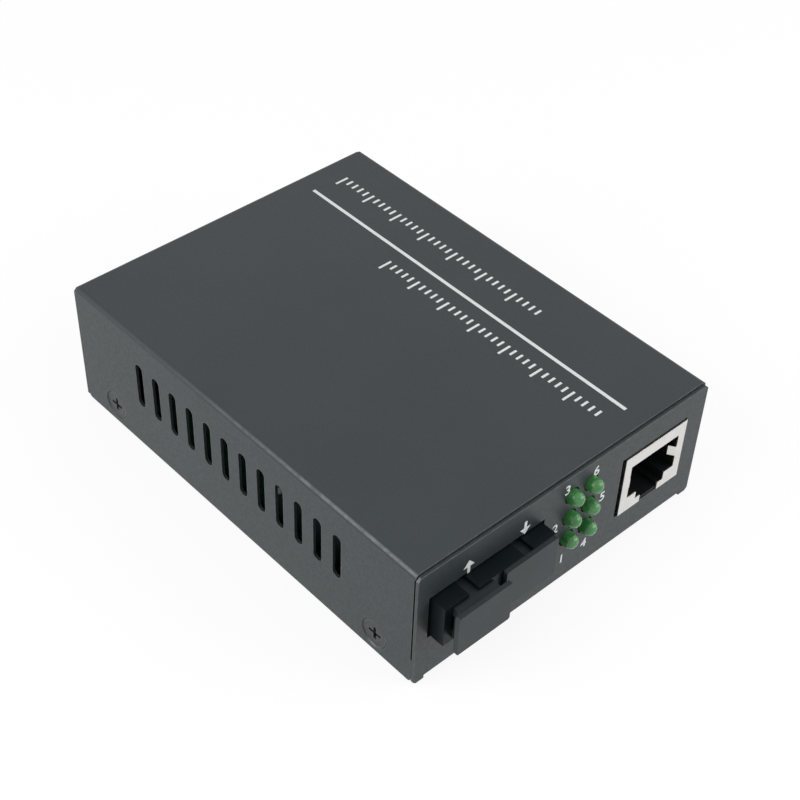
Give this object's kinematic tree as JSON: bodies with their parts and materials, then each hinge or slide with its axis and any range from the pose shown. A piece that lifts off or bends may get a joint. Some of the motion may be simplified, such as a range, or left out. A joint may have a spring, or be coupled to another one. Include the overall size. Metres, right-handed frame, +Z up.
{
  "type": "fibre media converter",
  "caption": "Small flat metal box that joins a copper network jack to a duplex fibre port, with indicator lamps, vent slots and fibre dust plugs.",
  "frame": {"origin": "centre of the case's underside, at the floor's outer face", "axes": "-Y the front panel with the ports and lamps, +X towards the copper jack's side, +Z up"},
  "size_m": [0.07, 0.1001, 0.027],
  "materials": {
    "painted_steel": "satin powder coat, dark charcoal",
    "blackened_steel": "satin black zinc",
    "board_laminate": "satin green solder mask",
    "brass_post": "satin",
    "plated_steel": "satin",
    "tinned_shield": "satin tin plate",
    "jack_plastic": "matt black",
    "gold_contact": "polished gold flash",
    "green_lens": "clear green resin",
    "tinned_lead": "satin tin",
    "port_plastic": "satin black",
    "sleeve_metal": "fine turned",
    "plug_plastic": "matt charcoal",
    "chip_resin": "matt moulded",
    "capacitor_sleeve": "gloss sleeve with a bare aluminium top",
    "ferrite": "matt",
    "ceramic_chip": "satin"
  },
  "bodies": {
    "converter": {"base_tray": "painted_steel", "top_cover": "painted_steel", "cover_screws": "blackened_steel", "circuit_board": "board_laminate", "board_standoffs": "brass_post", "board_screws": "plated_steel", "rj45_shield": "tinned_shield", "rj45_insert": "jack_plastic", "rj45_contacts": "gold_contact", "led_1": "green_lens", "led_2": "green_lens", "led_3": "green_lens", "led_4": "green_lens", "led_5": "green_lens", "led_6": "green_lens", "led_holder": "jack_plastic", "led_leads": "tinned_lead", "transceiver_housing": "port_plastic", "tx_latch_insert": "port_plastic", "tx_ferrule_sleeve": "sleeve_metal", "rx_latch_insert": "port_plastic", "rx_ferrule_sleeve": "sleeve_metal", "transceiver_pins": "gold_contact", "transceiver_studs": "tinned_lead", "dc_jack_body": "jack_plastic", "dc_jack_pin": "plated_steel", "dc_jack_terminals": "tinned_lead", "switch_chip": "chip_resin", "chip_leads": "tinned_lead", "network_transformer": "chip_resin", "voltage_regulator": "chip_resin", "crystal": "plated_steel", "electrolytic_capacitors": "capacitor_sleeve", "power_inductor": "ferrite", "chip_resistors": "chip_resin", "chip_capacitors": "ceramic_chip"},
    "tx_plug": {"tx_dust_plug": "plug_plastic"},
    "rx_plug": {"rx_dust_plug": "plug_plastic"}
  },
  "joints": [
    {"name": "tx_plug_pull", "type": "slide", "parent": "converter", "child": "tx_plug", "axis": [0, -1, 0], "range_m": [-0.002, 0.01]},
    {"name": "rx_plug_pull", "type": "slide", "parent": "converter", "child": "rx_plug", "axis": [0, -1, 0], "range_m": [0, 0.012]}
  ]
}
